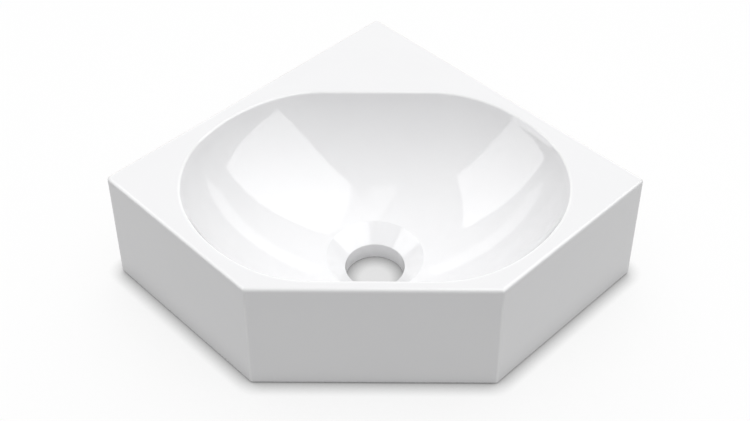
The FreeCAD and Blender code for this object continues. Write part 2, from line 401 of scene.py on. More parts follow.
@dataclass(frozen=True)
class GlazeFinish:
    """White glaze over a ceramic casting, with a highlight painted lighter on its edges, and bare
    on its foot and wall faces.
    """

    corner_y: float  # where the two wall faces meet
    name: str = "white_glaze"
    white: tuple = (0.862, 0.862, 0.869, 1.0)
    pooled: tuple = (0.848, 0.848, 0.857, 1.0)
    thin: tuple = (0.925, 0.925, 0.928, 1.0)  # painted highlight on the rounds and upright edges
    bare: tuple = (0.80, 0.785, 0.76, 1.0)
    pinhole: tuple = (0.70, 0.68, 0.64, 1.0)  # also the grog's colour
    pinhole_strength: float = 0.35
    grog_strength: float = 0.3
    gloss_roughness: float = 0.03
    roughness_spread: float = 0.02
    bare_roughness: float = 0.85
    bare_height: float = 0.0002  # above the foot
    bare_depth: float = 0.0016  # from a wall face
    border_wander: float = 0.0005
    slow_relief: float = 2.0  # next to the fine waves
    waver_height: float = 0.00006
    refraction: float = 1.52

    def build(self, effects: SharedEffects) -> Material:
        """Builds the material.

        Args:
            effects: the shared shader groups.

        Returns:
            The material.
        """
        finish = Finish(self.name)
        formula = finish.formula
        slow = finish.use(effects.waver, {"Scale": 22.0, "Detail": 2.0, "Contrast": 1.6})
        fine = finish.use(effects.waver, {"Scale": 95.0, "Detail": 1.0, "Contrast": 1.0})
        holes = finish.use(effects.speckle, {"Scale": 260.0, "Size": 0.07, "Share": 0.05})
        grog = finish.use(effects.speckle, {"Scale": 1500.0, "Size": 0.3, "Share": 0.3})
        unglazed = self.unglazed(finish, slow["Height"])
        # Painted highlight: where the attribute marks the rounds and upright edges, the glaze
        # colour is painted lighter.
        drawn = formula.node("ShaderNodeAttribute")
        drawn.attribute_name = PAINTED_HIGHLIGHT_ATTRIBUTE
        glaze = finish.mix(slow["Mottle"], self.white, self.pooled)
        glaze = finish.mix(drawn.outputs["Fac"], glaze, self.thin)
        pinholes = formula.times(holes["Mask"], self.pinhole_strength)
        glaze = finish.mix(pinholes, glaze, self.pinhole)
        body = finish.mix(formula.times(grog["Mask"], self.grog_strength), self.bare, self.pinhole)
        spread = formula.times(fine["Mottle"], self.roughness_spread)
        gloss = formula.add(self.gloss_roughness, spread)
        peel = formula.add(fine["Height"], formula.times(slow["Height"], self.slow_relief))
        finish.shader.inputs["IOR"].default_value = self.refraction
        return finish.close(
            finish.mix(unglazed, glaze, body),
            formula.between(gloss, self.bare_roughness, unglazed),
            formula.add(peel, formula.times(grog["Mask"], unglazed)),
            self.waver_height,
        )

    def unglazed(self, finish: Finish, waver: Socket) -> Socket:
        """Where the casting is bare: on its foot and on the two wall faces.

        Args:
            finish: the material that is being built.
            waver: what the border wanders by, 0 to 1.

        Returns:
            1 where it is bare and 0 where it is glazed.
        """
        formula = finish.formula
        place = formula.node("ShaderNodeSeparateXYZ", Vector=finish.place).outputs
        wander = formula.times(waver, self.border_wander)
        foot = formula.math("LESS_THAN", place["Z"], formula.add(wander, self.bare_height))
        sideways = formula.math("ABSOLUTE", place["X"])
        run = formula.minus(formula.minus(self.corner_y, place["Y"]), sideways)
        from_wall = formula.times(run, COS_45)
        wall = formula.math("LESS_THAN", from_wall, formula.add(wander, self.bare_depth))
        return formula.math("MAXIMUM", foot, wall)


@dataclass(frozen=True)
class MottledFinish:
    """A finish that drifts between two colours, with spots of a third and a fine grain."""

    name: str
    colour: tuple
    shade: tuple
    spot: tuple
    drift: dict[str, float]  # the inputs of the waver that mixes the two colours
    grain: dict[str, float]  # the inputs of the waver that makes the relief
    spots: dict[str, float]  # the inputs of the speckle
    roughness: float
    grain_height: float
    spot_strength: float = 0.5
    drift_gloss: float = 0.0  # how much roughness the drift adds
    grain_gloss: float = 0.0  # how much roughness the grain adds
    drift_relief: float = 0.0  # how high the drift stands next to the grain
    metallic: float = 0.0

    def build(self, effects: SharedEffects) -> Material:
        """Builds the material.

        Args:
            effects: the shared shader groups.

        Returns:
            The material.
        """
        finish = Finish(self.name)
        formula = finish.formula
        drift = finish.use(effects.waver, self.drift)
        grain = finish.use(effects.waver, self.grain)
        spots = finish.use(effects.speckle, self.spots)
        colour = finish.mix(drift["Mottle"], self.colour, self.shade)
        colour = finish.mix(formula.times(spots["Mask"], self.spot_strength), colour, self.spot)
        rough = formula.add(
            self.roughness,
            formula.times(drift["Mottle"], self.drift_gloss),
            formula.times(grain["Mottle"], self.grain_gloss),
        )
        relief = formula.add(grain["Height"], formula.times(drift["Height"], self.drift_relief))
        finish.shader.inputs["Metallic"].default_value = self.metallic
        return finish.close(colour, rough, relief, self.grain_height)


THIN_UNDERSIDE = MottledFinish(
    name="thin_glaze_underside",
    colour=(0.86, 0.85, 0.82, 1.0),
    shade=(0.78, 0.74, 0.67, 1.0),
    spot=(0.60, 0.56, 0.50, 1.0),
    drift={"Scale": 30.0, "Detail": 4.0, "Contrast": 3.0},
    grain={"Scale": 700.0, "Detail": 2.0, "Contrast": 1.5},
    spots={"Scale": 500.0, "Size": 0.16, "Share": 0.12},
    roughness=0.22,
    drift_gloss=0.5,
    grain_height=0.00012,
    drift_relief=3.0,
)
GREY_NYLON = MottledFinish(
    name="grey_nylon",
    colour=(0.55, 0.56, 0.57, 1.0),
    shade=(0.47, 0.48, 0.50, 1.0),
    spot=(0.47, 0.48, 0.50, 1.0),
    drift={"Scale": 120.0, "Detail": 3.0, "Contrast": 2.0},
    grain={"Scale": 1800.0, "Detail": 2.0, "Contrast": 1.2},
    spots={"Scale": 1400.0, "Size": 0.18, "Share": 0.06},
    spot_strength=0.3,
    roughness=0.42,
    grain_gloss=0.14,
    grain_height=0.000012,
)
WHITE_PLASTIC = replace(
    GREY_NYLON,
    name="white_plastic",
    colour=(0.88, 0.88, 0.86, 1.0),
    shade=(0.84, 0.84, 0.815, 1.0),
    spot=(0.84, 0.84, 0.815, 1.0),
    grain={"Scale": 1100.0, "Detail": 2.0, "Contrast": 1.2},
    roughness=0.22,
    grain_height=0.000005,
)
ZINC_PLATE = MottledFinish(
    name="bright_zinc_plate",
    colour=(0.66, 0.68, 0.71, 1.0),
    shade=(0.70, 0.68, 0.62, 1.0),
    spot=(0.48, 0.46, 0.43, 1.0),
    drift={"Scale": 260.0, "Detail": 3.0, "Contrast": 3.0},
    grain={"Scale": 2400.0, "Detail": 2.0, "Contrast": 1.5},
    spots={"Scale": 900.0, "Size": 0.2, "Share": 0.08},
    roughness=0.24,
    drift_gloss=0.16,
    grain_height=0.000012,
    metallic=1.0,
)


# ---- mesh helpers ----

def shown_object(name: str, data: bpy.types.ID) -> Piece:
    """Links a new object at the origin.

    Args:
        name: the object's name.
        data: its mesh, lamp or camera.

    Returns:
        The object.
    """
    made = bpy.data.objects.new(name, data)
    bpy.context.scene.collection.objects.link(made)
    return made


def placed_frame(spot: Vector, x: Vector, y: Vector, z: Vector) -> Matrix:
    """The frame at a spot with the given axes."""
    return Matrix.Translation(spot) @ Matrix((x, y, z)).transposed().to_4x4()


def level_ring(radius: float, z: float, steps: int) -> Ring:
    """A level ring of points about the Z axis."""
    turns = np.arange(steps) * math.tau / steps
    return np.stack([radius * np.cos(turns), radius * np.sin(turns), np.full(steps, z)], 1)


def loft(name: str, rings: list[Ring], material: Material, ring_closed: bool) -> Piece:
    """Joins rings of equal length into a closed shell of quads.

    Args:
        name: the object's name.
        rings: arrays of points, each running the same way round.
        material: set on the whole shell.
        ring_closed: True joins the last ring to the first; False caps both ends.

    Returns:
        The object.
    """
    count = len(rings[0])
    steps = len(rings) if ring_closed else len(rings) - 1
    faces = []
    for i in range(steps):
        here = i * count
        there = (i + 1) % len(rings) * count
        for j in range(count):
            k = (j + 1) % count
            faces.append((here + j, here + k, there + k, there + j))
    if not ring_closed:
        faces.append(tuple(reversed(range(count))))
        faces.append(tuple(range(steps * count, (steps + 1) * count)))
    mesh = bpy.data.meshes.new(name)
    mesh.from_pydata(np.concatenate(rings).tolist(), [], faces)
    mesh.materials.append(material)
    mesh.update()
    return shown_object(name, mesh)


def face_outwards(item: Piece) -> None:
    """Flips a closed shell whose faces point inwards.

    Args:
        item: the shell.
    """
    mesh = item.data
    mesh.calc_loop_triangles()
    volume = 0.0
    for triangle in mesh.loop_triangles:
        a, b, c = (mesh.vertices[i].co for i in triangle.vertices)
        volume += a.dot(b.cross(c))
    if volume < 0:
        mesh.flip_normals()


def carve(target: Piece, cutter: Piece) -> None:
    """Cuts one closed shell out of another and removes the cutter.

    Args:
        target: the shell that is cut; its mesh is exchanged.
        cutter: the shell that is taken away; the new faces keep its material.
    """
    face_outwards(target)
    face_outwards(cutter)
    modifier = target.modifiers.new("carve", "BOOLEAN")
    modifier.operation = "DIFFERENCE"
    modifier.solver = "EXACT"
    modifier.material_mode = "TRANSFER"
    modifier.object = cutter
    apply_modifiers(target)
    bpy.data.objects.remove(cutter)


def apply_modifiers(item: Piece) -> None:
    """Exchanges an object's mesh for the one its modifiers make.

    Args:
        item: the object.
    """
    graph = bpy.context.evaluated_depsgraph_get()
    made = bpy.data.meshes.new_from_object(item.evaluated_get(graph))
    item.modifiers.clear()
    item.data = made


def soften(item: Piece, sharp_degrees: float) -> None:
    """Shades an object smooth, with true normals on its flat faces.

    Args:
        item: the object.
        sharp_degrees: edges that turn more than this stay sharp.
    """
    full_weight = 100
    item.data.shade_smooth()
    item.data.set_sharp_from_angle(angle=math.radians(sharp_degrees))
    modifier = item.modifiers.new("weigh", "WEIGHTED_NORMAL")
    modifier.keep_sharp = True
    modifier.weight = full_weight
    apply_modifiers(item)


def hand_over(item: Piece, node: str) -> None:
    """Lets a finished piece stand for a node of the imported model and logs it.

    Args:
        item: the finished piece.
        node: the node that it stands for.
    """
    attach(item, BODY)
    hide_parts(node)
    item.data.calc_loop_triangles()
    LOG.info("%s stands for %s, %d triangles", item.name, node, len(item.data.loop_triangles))


# ---- the casting ----

@dataclass(frozen=True)
class BowlSizes:
    """The bowl's surface, from the seat of the waste up to the rim."""

    seat_radius: float = 0.0375
    seat_flat: float = 0.001
    seat_top: float = 0.026
    rim_top: float = 0.098
    rim_flat: float = 0.0415
    back_radius: float = 0.090
    shoulder_radius: float = 0.121
    end_radius: float = 0.088
    waste_centre: float = 0.208
    rim_centre: float = 0.199
    foot_slope: float = math.radians(14.0)
    rim_slope: float = math.radians(74.0)
    slope_reach: float = 0.52
    straight_share: float = 0.12
    corner_y: float = 0.0

    @property
    def turns(self) -> tuple[float, float, float]:
        """Where each of the three arcs of a quarter ends."""
        return math.radians(30.0), math.radians(60.0), math.radians(90.0)

    @property
    def run(self) -> float:
        """Level distance from the seat's circle to the rim, straight back from the waste.

        Returns:
            The distance.
        """
        depth = 0.0
        turned = 0.0
        radii = (self.back_radius, self.shoulder_radius, self.end_radius)
        for radius, end in zip(radii, self.turns):
            depth += radius * (math.cos(turned) - math.cos(end))
            turned = end
        return self.waste_centre - self.seat_radius - (self.rim_centre - depth)


@dataclass(frozen=True)
class ShellSizes:
    """The outside of the casting and its hollow.

    The last seven only place rings that carry the mesh: inside the rounds of the deck and the
    foot, on the side faces as shares of their height, in the hole and under its lip, and in the
    hollow below and above the foot.
    """

    wall_length: float = 0.280
    side_length: float = 0.156
    height: float = 0.098
    base_flare: float = 0.003
    edge_round: float = 0.0035
    deck_round: float = 0.0025
    base_round: float = 0.003
    rim_round: float = 0.0025
    seat_round: float = 0.0012
    hole_round: float = 0.0008
    foot_round: float = 0.0015
    skirt: float = 0.010
    deck: float = 0.011
    bowl_wall: float = 0.0095
    hollow_round: float = 0.009
    waste_radius: float = 0.023
    waste_wall_top: float = 0.0146
    boss_wall: float = 0.011
    boss_lift: float = 0.0005
    fixing_run: float = 0.100
    fixing_height: float = 0.042
    fixing_hole_radius: float = 0.007
    pad_radius: float = 0.022
    pad_thickness: float = 0.005
    pad_taper: float = 0.003
    pad_sunk: float = 0.002
    deck_hold: float = 0.0006
    base_hold: float = 0.0004
    side_rings: tuple = (0.01, 0.2, 0.4, 0.6, 0.8, 0.99)
    hole_rings: tuple = (0.0, 0.003, 0.009)
    lip_gap: float = 0.0005
    open_rings: tuple = (-0.002, -0.0002)
    hollow_rings: tuple = (0.03, 0.06)


@dataclass(frozen=True)
class EdgeHighlightBands:
    """Where a highlight is painted into the glaze's colour: on the rounds of the deck and on the
    upright front edges.
    """

    deck_turn: float = math.radians(58.0)  # the tilt at which it ends on the deck's rounds
    upright_turn: float = math.radians(45.0)  # from one face to the next
    deck_band: float = 0.0027  # below the deck
    wall_band: float = 0.004  # from the wall faces
    upright_drop: float = 0.004  # below the deck
    upright_lean: float = 0.2  # the most that its normal leans
    hole_clear: float = 0.09  # from the waste's axis


@dataclass
class Casting:
    """The ceramic casting: shell, bowl, waste hole and hollow underside."""

    corner_y: float  # where the room corner lies
    glaze: Material
    underside: Material
    shell: ShellSizes = ShellSizes()
    # The bands where a highlight is painted into the glaze's colour.
    edges: EdgeHighlightBands = EdgeHighlightBands()
    columns: int = 288
    bowl_rings: int = 60
    corner_steps: int = 8
    round_steps: int = 6
    seat_steps: int = 4
    cone_steps: int = 8
    pad_steps: int = 72
    hole_steps: int = 64
    hidden_step: int = 4  # the hollow's shapes take every fourth point
    overlap: float = 0.003  # how far a hole's shape reaches past the faces it opens
    sharp_degrees: float = 32.0

    def __post_init__(self) -> None:
        """Sets the bowl on the room corner and evaluates its surface."""
        self.bowl = BowlSizes(corner_y=self.corner_y)
        self.surface = self.bowl_surface()
        self.rim = self.surface[-1]
        self.outwards = self.plan_normals(self.rim)
        self.corner_columns = self.find_corner_columns()

    def bowl_surface(self) -> np.ndarray:
        """Evaluates the bowl's rule.

        Returns:
            Its points as (ring, column, xyz).
        """
        ruled = RuledMesh("Bowl surface", self.columns, self.bowl_rings, False)
        mesh = ruled.build(self.bowl, self.bowl_rule, self.glaze)
        points = np.empty(len(mesh.vertices) * 3)
        mesh.vertices.foreach_get("co", points)
        bpy.data.meshes.remove(mesh)
        return points.reshape(self.columns, self.bowl_rings, 3).transpose(1, 0, 2)

    def bowl_rule(self, f: Formula, size: dict[str, Socket], around: Socket, up: Socket) -> tuple:
        """Where a point of the bowl lies.

        Its section is an oval of straight stretches and arcs, which grows from the seat's circle to
        the rim while a cubic curve carries it up.

        Args:
            f: writes the arithmetic.
            size: the tree's inputs by field name.
            around: the share of the way round, from the middle of the back.
            up: the share of the way from the seat to the rim.

        Returns:
            The sockets of x, y and z.
        """
        drop = f.minus(size["rim_top"], size["seat_top"])
        hold = f.times(drop, size["slope_reach"])

        def curve(start: Value, end: Value, lean: Callable[[Socket], Socket]) -> Socket:
            """One coordinate of the cubic curve that leads from the seat to the rim.

            Args:
                start: its value at the seat.
                end: its value at the rim.
                lean: how much of a slope counts along it.

            Returns:
                The coordinate.
            """
            leave = f.add(start, f.times(hold, lean(size["foot_slope"])))
            arrive = f.minus(end, f.times(hold, lean(size["rim_slope"])))
            rest = f.minus(1.0, up)
            return f.add(
                f.times(start, rest, rest, rest),
                f.times(leave, rest, rest, up, 3.0),
                f.times(arrive, rest, up, up, 3.0),
                f.times(end, up, up, up),
            )

        run = self.bowl.run
        level = curve(0.0, run, lambda angle: f.math("COSINE", angle))
        z = curve(size["seat_top"], size["rim_top"], lambda angle: f.math("SINE", angle))
        share = f.math("DIVIDE", level, run)
        quarters = f.times(around, 4.0)
        in_quarter = f.math("PINGPONG", quarters, 1.0)
        straight = f.clamp(f.math("DIVIDE", in_quarter, size["straight_share"]), 0.0, 1.0)
        bend = f.math(
            "DIVIDE",
            f.minus(in_quarter, size["straight_share"]),
            f.minus(1.0, size["straight_share"]),
        )
        turn = f.times(f.math("MAXIMUM", bend, 0.0), math.pi / 2)
        x = f.times(straight, f.between(size["seat_flat"], size["rim_flat"], share))
        y = 0.0
        begun = 0.0
        for name, end in zip(("back_radius", "shoulder_radius", "end_radius"), self.bowl.turns):
            radius = f.between(size["seat_radius"], size[name], share)
            reached = f.clamp(turn, begun, end)
            x = f.add(x, f.times(radius, f.minus(f.math("SINE", reached), math.sin(begun))))
            y = f.add(y, f.times(radius, f.minus(f.math("COSINE", reached), math.cos(end))))
            begun = end
        right = f.math("SIGN", f.minus(2.0, quarters))
        back = f.math("SIGN", f.minus(f.math("ABSOLUTE", f.minus(quarters, 2.0)), 1.0))
        centre = f.between(size["waste_centre"], size["rim_centre"], share)
        return (
            f.times(x, right),
            f.add(size["corner_y"], f.times(centre, -1.0), f.times(y, back)),
            z,
        )

    @staticmethod
    def plan_normals(ring: Ring) -> np.ndarray:
        """Level directions square to a ring, pointing out of it.

        Args:
            ring: the ring.

        Returns:
            One direction for each of its points.
        """
        along = np.roll(ring, -1, 0) - np.roll(ring, 1, 0)
        normals = np.stack([-along[:, 1], along[:, 0], np.zeros(len(ring))], 1)
        return normals / np.linalg.norm(normals, axis=1, keepdims=True)

    def offset(self, ring: Ring, reach: float, z: Union[float, np.ndarray]) -> Ring:
        """A ring moved outwards by a distance, at a height or at one for each point."""
        return np.c_[(ring + self.outwards * reach)[:, :2], np.full(len(ring), z)]

    @staticmethod
    def round_over(slope_in: float, slope_out: float, radius: float, steps: int) -> list[tuple]:
        """A convex round between two slopes that meet at a corner.

        Args:
            slope_in: the angle of the first slope above level.
            slope_out: the angle of the second, which is less.
            radius: the round's radius.
            steps: how many parts it is drawn in.

        Returns:
            (level, height) of each point from the corner.
        """
        tangent = radius * math.tan((slope_in - slope_out) / 2)
        centre_level = tangent * math.cos(slope_out) + radius * math.sin(slope_out)
        centre_height = tangent * math.sin(slope_out) - radius * math.cos(slope_out)
        points = []
        for slope in np.linspace(slope_in, slope_out, steps + 1):
            level = centre_level - radius * math.sin(slope)
            points.append((level, centre_height + radius * math.cos(slope)))
        return points

    def quarter(self, radius: float) -> list[tuple]:
        """A quarter round's distances from its first and its second tangent."""
        turns = [math.pi / 2 * i / self.round_steps for i in range(self.round_steps + 1)]
        return [(radius * (1 - math.cos(turn)), radius * (1 - math.sin(turn))) for turn in turns]

    def circle(self, radius: float, z: float) -> Ring:
        """A circle round the waste's axis, its points in line with the bowl's columns.

        Args:
            radius: its radius.
            z: its height.

        Returns:
            The ring.
        """
        axis = np.array([0.0, self.corner_y - self.bowl.waste_centre, 0.0])
        rays = self.surface[0] - axis
        rays[:, 2] = 0
        ring = axis + rays / np.linalg.norm(rays, axis=1, keepdims=True) * radius
        ring[:, 2] = z
        return ring

    def waste_rings(self) -> list[Ring]:
        """The straight hole, its rounded lip, the conical seat and the round at its top.

        Returns:
            The rings, from the foot upwards.
        """
        size, bowl = self.shell, self.bowl
        run = bowl.seat_radius - size.waste_radius
        rise = bowl.seat_top - size.waste_wall_top
        slope = math.atan2(rise, run)
        lip = self.round_over(math.pi / 2, slope, size.hole_round, self.round_steps)
        crest = self.round_over(slope, bowl.foot_slope, size.seat_round, self.seat_steps)
        cone = np.linspace(lip[-1], np.add(crest[0], (run, rise)), self.cone_steps + 1)
        lip_start = size.waste_wall_top + lip[0][1]
        heights = (*size.hole_rings, lip_start - size.lip_gap)
        rings = [self.circle(size.waste_radius, z) for z in heights]
        for level, height in lip + list(cone[1:-1]):
            rings.append(self.circle(size.waste_radius + level, size.waste_wall_top + height))
        for share, (level, height) in zip(np.linspace(0.0, 1.0, len(crest)), crest):
            z = bowl.seat_top + height
            oval = self.offset(self.surface[0], level, z)
            rings.append(self.circle(bowl.seat_radius + level, z) * (1 - share) + oval * share)
        return rings

    def bowl_rings_between_rounds(self) -> list[Ring]:
        """The bowl's own rings, from above the seat's round to below the rim's.

        Returns:
            The rings.
        """
        margin = 0.0003
        low = self.bowl.seat_top + margin
        rim = self.round_over(self.bowl.rim_slope, 0.0, self.shell.rim_round, self.round_steps)
        high = self.bowl.rim_top + rim[0][1] - margin
        return [ring for ring in self.surface if low < ring[0, 2] < high]

    def rim_rings(self) -> list[Ring]:
        """The round between the bowl and the deck, and a ring that holds the deck flat.

        Returns:
            The rings.
        """
        size, bowl = self.shell, self.bowl
        arc = self.round_over(bowl.rim_slope, 0.0, size.rim_round, self.round_steps + 2)
        arc.append((size.rim_round, 0.0))
        return [self.offset(self.rim, level, bowl.rim_top + height) for level, height in arc]

    def corners(self, z: float, inset: float) -> list[np.ndarray]:
        """The corners of the pentagon, from the room corner clockwise.

        Args:
            z: the height.
            inset: how far its faces are moved inwards.

        Returns:
            The five points.
        """
        size = self.shell
        flare = size.base_flare * (1 - z / size.height)
        side = size.wall_length + flare - inset
        front = (size.wall_length + size.side_length) * COS_45 + flare - inset
        right, back = (side - inset) * COS_45, -(side + inset) * COS_45
        front_right = side / COS_45 - front
        plan = [(0.0, -inset / COS_45), (right, back), (front_right, -front)]
        plan += [(-front_right, -front), (-right, back)]
        return [np.array([x, y + self.corner_y, z]) for x, y in plan]

    def find_corner_columns(self) -> list[int]:
        """Finds the columns of the bowl that look at each corner of the pentagon.

        Returns:
            One column for each corner.
        """
        centre = np.array([0.0, self.corner_y - self.bowl.rim_centre])
        rays = self.rim[:, :2] - centre
        bearing = np.arctan2(rays[:, 0], rays[:, 1])
        found = []
        for corner in self.corners(0.0, 0.0):
            ray = corner[:2] - centre
            gap = np.angle(np.exp(1j * (bearing - math.atan2(ray[0], ray[1]))))
            found.append(int(np.argmin(np.abs(gap))))
        return found

    def shell_ring(self, z: float, inset: float, rounding: float) -> Ring:
        """A pentagon with rounded corners, its points in line with the bowl's columns.

        Args:
            z: its height.
            inset: how far its faces lie inside the outer ones.
            rounding: the radius of its corners.

        Returns:
            The ring.
        """
        corners = self.corners(z, inset)
        ring = np.zeros((self.columns, 3))
        half = self.corner_steps // 2
        for i, corner in enumerate(corners):
            before = corners[i - 1] - corner
            after = corners[(i + 1) % len(corners)] - corner
            before /= np.linalg.norm(before)
            after /= np.linalg.norm(after)
            opening = math.acos(float(np.clip(before @ after, -1, 1)))
            middle = (before + after) / np.linalg.norm(before + after)
            hub = corner + middle * (rounding / math.sin(opening / 2))
            across = np.array([-middle[1], middle[0], 0.0])
            if across @ before < 0:
                across = -across
            for k in range(-half, half + 1):
                angle = (math.pi - opening) / 2 * k / half
                ray = -middle * math.cos(angle) - across * math.sin(angle)
                ring[(self.corner_columns[i] + k) % self.columns] = hub + ray * rounding
        for i, column in enumerate(self.corner_columns):
            first = column + half
            last = self.corner_columns[(i + 1) % len(corners)] - half
            last += self.columns if last < first else 0
            run = np.arange(first, last + 1) % self.columns
            ring[run] = np.linspace(ring[run[0]], ring[run[-1]], len(run))
        return ring

    def outer_rings(self) -> list[Ring]:
        """The deck's outer round, the side faces and the round at the base.

        Returns:
            The rings, from the deck downwards.
        """
        size = self.shell
        top, bottom = size.height - size.deck_round, size.base_round
        levels = [(size.height, size.deck_round + size.deck_hold, size.deck_round)]
        for inset, drop in reversed(self.quarter(size.deck_round)):
            levels.append((size.height - drop, inset, inset))
        for share in size.side_rings:
            levels.append((top + (bottom - top) * share, 0.0, 0.0))
        for inset, z in self.quarter(size.base_round):
            levels.append((z, inset, inset))
        levels.append((0.0, size.base_round + size.base_hold, size.base_round))
        return [self.shell_ring(z, inset, size.edge_round - less) for z, inset, less in levels]

    def solid_block(self) -> Piece:
        """The casting before it is hollowed, as one closed shell of quads."""
        inner = self.waste_rings() + self.bowl_rings_between_rounds() + self.rim_rings()
        return loft("glazed_casting", inner + self.outer_rings(), self.glaze, True)

    def hollow_space(self) -> Piece:
        """The open space under the deck, round the bowl's wall, the boss and the two pads.

        Returns:
            The space as a closed shell.
        """
        size = self.shell
        levels = [(z, size.skirt - size.foot_round) for z in size.open_rings]
        levels += [(z, size.skirt - less) for z, less in self.quarter(size.foot_round)]
        levels += [(z, size.skirt) for z in (*size.hollow_rings, size.height - size.deck)]
        rings = [self.shell_ring(z, inset, size.hollow_round) for z, inset in levels]
        thinned = [ring[:: self.hidden_step // 2] for ring in rings]
        space = loft("hollow", thinned, self.underside, False)
        for solid in (self.bowl_outside(), self.boss(), *(self.pad(hand) for hand in Hand)):
            carve(space, solid)
        return space

    def bowl_outside(self) -> Piece:
        """Everything inside the outer surface of the bowl's wall.

        Returns:
            A closed shell.
        """
        wall = self.shell.bowl_wall
        middle = self.surface[:, 0]
        slopes = np.arctan2(np.gradient(middle[:, 2]), np.gradient(middle[:, 1]))
        rings = []
        for ring, slope in list(zip(self.surface, slopes))[:: self.hidden_step]:
            moved = self.offset(ring, wall * math.sin(slope), ring[:, 2] - wall * math.cos(slope))
            rings.append(moved[:: self.hidden_step])
        rings.append(rings[-1] + (0.0, 0.0, self.shell.deck))
        return loft("bowl_outside", rings, self.underside, False)

    def boss(self) -> Piece:
        """The thick ring of ceramic round the waste hole.

        Returns:
            A closed shell.
        """
        size = self.shell
        radius = size.waste_radius + size.boss_wall
        rings = []
        for rise, less in self.quarter(size.foot_round):
            rings.append(self.circle(radius - less, size.boss_lift + rise))
        rings.append(self.circle(radius, self.bowl.seat_top))
        return loft("boss", [ring[:: self.hidden_step] for ring in rings], self.underside, False)

    def wall_frame(self, hand: Hand) -> Matrix:
        """A frame on a wall face at the fixing, with +Z into the basin.

        Args:
            hand: which wall face.

        Returns:
            The frame.
        """
        run = self.shell.fixing_run * COS_45
        inwards = Vector((-hand.value * COS_45, -COS_45, 0.0))
        up = Vector((0.0, 0.0, 1.0))
        spot = Vector((hand.value * run, self.corner_y - run, self.shell.fixing_height))
        return placed_frame(spot, up.cross(inwards), up, inwards)

    def turned_on_wall(self, name: str, hand: Hand, profile: list[tuple], steps: int) -> Piece:
        """A solid turned about a wall frame's axis.

        Args:
            name: the object's name.
            hand: which wall face.
            profile: (radius, height) of each ring.
            steps: points in a ring.

        Returns:
            The object.
        """
        rings = [level_ring(radius, height, steps) for radius, height in profile]
        made = loft(name, rings, self.underside, False)
        made.data.transform(self.wall_frame(hand))
        return made

    def pad(self, hand: Hand) -> Piece:
        """The thicker ceramic round a fixing hole, inside the skirt.

        Args:
            hand: which wall face.

        Returns:
            The object.
        """
        size = self.shell
        wide = size.pad_radius + size.pad_taper * (1 + size.pad_sunk / size.pad_thickness)
        foot, top = size.skirt - size.pad_sunk, size.skirt + size.pad_thickness
        profile = [(wide, foot), (size.pad_radius, top)]
        return self.turned_on_wall("pad", hand, profile, self.pad_steps)

    def fixing_hole(self, hand: Hand) -> Piece:
        """The hole that a hanger bolt passes through.

        Args:
            hand: which wall face.

        Returns:
            The object.
        """
        size = self.shell
        depth = size.skirt + size.pad_thickness + self.overlap
        profile = [(size.fixing_hole_radius, z) for z in (-self.overlap, depth)]
        return self.turned_on_wall("fixing_hole", hand, profile, self.hole_steps)

    def build(self) -> None:
        """Builds the whole casting and lets it stand for its node."""
        piece = self.solid_block()
        carve(piece, self.hollow_space())
        for hand in Hand:
            carve(piece, self.fixing_hole(hand))
        soften(piece, self.sharp_degrees)
        self.paint_edge_highlight(piece)
        hand_over(piece, "basin_body")

    def paint_edge_highlight(self, piece: Piece) -> None:
        """Writes where a highlight is painted on the rounds and upright edges.

        Args:
            piece: the casting.
        """
        edges, mesh = self.edges, piece.data
        count = len(mesh.vertices)
        place, normal = np.empty(count * 3), np.empty(count * 3)
        mesh.vertices.foreach_get("co", place)
        mesh.vertex_normals.foreach_get("vector", normal)
        (x, y, z), (across, along, up) = place.reshape(-1, 3).T, normal.reshape(-1, 3).T

        def crest(turn: np.ndarray, whole: float) -> np.ndarray:
            """1 half way through a turn, and 0 at its start and beyond its end."""
            return np.sin(math.pi * np.clip(turn / whole, 0.0, 1.0))

        from_walls = (self.corner_y - y - np.abs(x)) * COS_45
        deck = crest(np.arccos(np.clip(up, -1.0, 1.0)), edges.deck_turn)
        deck *= (z > self.bowl.rim_top - edges.deck_band) & (from_walls > edges.wall_band)
        upright = crest(np.arctan2(np.abs(across), -along), edges.upright_turn)
        upright *= (np.abs(up) < edges.upright_lean) & (z < self.bowl.rim_top - edges.upright_drop)
        from_hole = np.hypot(x, y - (self.corner_y - self.bowl.waste_centre))
        upright *= from_hole > edges.hole_clear
        # Painted highlight: 1 half way round each round, where the glaze colour is painted lighter.
        made = mesh.attributes.new(PAINTED_HIGHLIGHT_ATTRIBUTE, "FLOAT", "POINT")
        made.data.foreach_set("value", np.maximum(deck, upright))


# ---- the wall fixings ----

@dataclass(frozen=True)
class BoltSizes:
    """A hanger bolt: a pointed wood thread in the wall and a machine thread in the basin."""

    radius: float = 0.004
    in_wall: float = 0.038
    inside: float = 0.042
    tip: float = 0.006
    tip_radius: float = 0.001
    end_chamfer: float = 0.0008
    wood_pitch: float = 0.003
    wood_depth: float = 0.0009
    machine_pitch: float = 0.00125
    machine_depth: float = 0.0007
    plain_half: float = 0.0015
    run_out: float = 0.001


